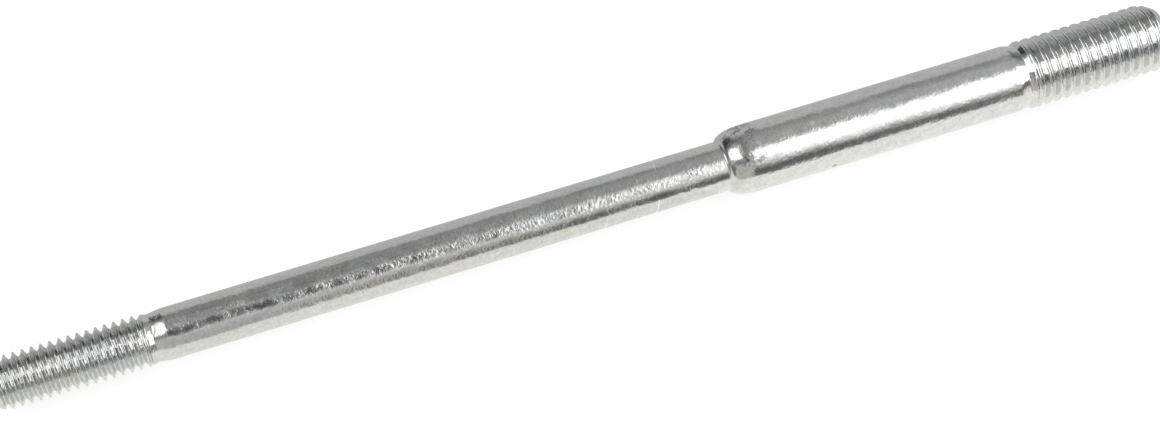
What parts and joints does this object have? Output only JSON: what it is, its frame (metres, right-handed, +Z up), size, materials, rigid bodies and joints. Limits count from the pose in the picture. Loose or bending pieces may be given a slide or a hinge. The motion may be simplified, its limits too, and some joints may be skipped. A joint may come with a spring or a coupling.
{
  "type": "cylinder head stud",
  "caption": "Stepped steel stud with a slim shank, a thick shank and a rolled thread on each end, for clamping a cylinder head and barrel to a crankcase.",
  "frame": {"origin": "under the middle of the stud's length, on the surface that it lies on", "axes": "+X along the stud from the slim end to the thick end, +Z up from the surface, stud's own axis 3.985 mm above the origin"},
  "size_m": [0.138, 0.008, 0.008],
  "materials": {
    "zinc_plate": "bright zinc plate, slightly mottled and finely speckled"
  },
  "bodies": {
    "root": {"stud": "zinc_plate"}
  },
  "joints": []
}
